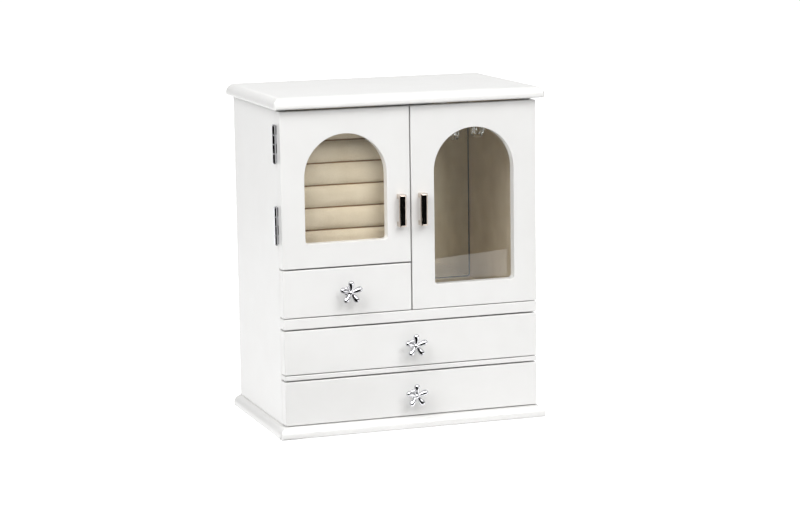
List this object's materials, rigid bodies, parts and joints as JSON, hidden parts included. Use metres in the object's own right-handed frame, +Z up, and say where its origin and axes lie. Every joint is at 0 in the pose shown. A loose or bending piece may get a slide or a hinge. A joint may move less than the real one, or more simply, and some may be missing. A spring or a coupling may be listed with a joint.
{
  "type": "jewellery chest",
  "caption": "White jewellery chest with arched glass doors, ring rolls, a turning necklace carousel and velvet-lined sliding drawers.",
  "frame": {"origin": "on the floor, under the middle of the chest's bounding box", "axes": "+Z up, +X towards the right door, -Y towards the front, where doors and drawers open"},
  "size_m": [0.254, 0.164, 0.305],
  "materials": {
    "lacquer": "satin white lacquer on fibreboard",
    "velvet": "short beige velvet",
    "felt": "pressed felt",
    "mirror": "silvered glass",
    "glass": "clear float glass",
    "acrylic": "clear moulded acrylic",
    "chrome": "polished chrome",
    "nickel": "polished warm nickel",
    "steel": "zinc-plated steel"
  },
  "bodies": {
    "root": {"base_felt": "felt", "base_board": "lacquer", "top_board": "lacquer", "left_side": "lacquer", "right_side": "lacquer", "back_panel": "lacquer", "lower_deck": "lacquer", "lower_rail": "lacquer", "upper_deck": "lacquer", "upper_rail": "lacquer", "centre_divider": "lacquer", "ring_shelf": "lacquer", "ring_bay_lining": "velvet", "ring_holder": "velvet", "ring_rolls": "velvet", "hanging_bay_lining": "velvet", "back_mirror": "mirror", "catch_blocks": "lacquer", "catch_magnets": "steel", "carousel_plate": "lacquer", "carousel_plate_screws": "steel", "carousel_spindle": "steel", "hinge_frame_leaves": "chrome", "hinge_pins": "chrome", "hinge_frame_screws": "chrome"},
    "carousel": {"carousel_disc": "acrylic", "carousel_hooks": "acrylic"},
    "left_door": {"left_door": "lacquer", "left_pane": "glass", "left_strike": "steel", "left_handle": "nickel", "left_handle_screws": "steel", "left_hinge_leaves": "chrome", "left_hinge_screws": "chrome"},
    "right_door": {"right_door": "lacquer", "right_pane": "glass", "right_strike": "steel", "right_handle": "nickel", "right_handle_screws": "steel", "right_hinge_leaves": "chrome", "right_hinge_screws": "chrome"},
    "small_drawer": {"small_drawer_front": "lacquer", "small_drawer_walls": "lacquer", "small_drawer_bottom": "lacquer", "small_drawer_lining": "velvet", "small_drawer_knob": "chrome", "small_drawer_screw": "steel"},
    "middle_drawer": {"middle_drawer_front": "lacquer", "middle_drawer_walls": "lacquer", "middle_drawer_bottom": "lacquer", "middle_drawer_lining": "velvet", "middle_drawer_knob": "chrome", "middle_drawer_screw": "steel"},
    "bottom_drawer": {"bottom_drawer_front": "lacquer", "bottom_drawer_walls": "lacquer", "bottom_drawer_bottom": "lacquer", "bottom_drawer_lining": "velvet", "bottom_drawer_knob": "chrome", "bottom_drawer_screw": "steel"}
  },
  "joints": [
    {"name": "left_door_hinge", "type": "hinge", "parent": "root", "child": "left_door", "pos_m": [-0.122, -0.0578, 0.22265], "axis": [0, 0, -1], "range_deg": [0, 180]},
    {"name": "right_door_hinge", "type": "hinge", "parent": "root", "child": "right_door", "pos_m": [0.122, -0.0578, 0.20075], "axis": [0, 0, 1], "range_deg": [0, 180]},
    {"name": "small_drawer_slide", "type": "slide", "parent": "root", "child": "small_drawer", "axis": [0, -1, 0], "range_m": [0, 0.11]},
    {"name": "middle_drawer_slide", "type": "slide", "parent": "root", "child": "middle_drawer", "axis": [0, -1, 0], "range_m": [0, 0.11]},
    {"name": "bottom_drawer_slide", "type": "slide", "parent": "root", "child": "bottom_drawer", "axis": [0, -1, 0], "range_m": [0, 0.11]},
    {"name": "carousel_turn", "type": "hinge", "parent": "root", "child": "carousel", "pos_m": [0.0575, 0.009, 0.274], "axis": [0, 0, 1], "continuous": true}
  ]
}
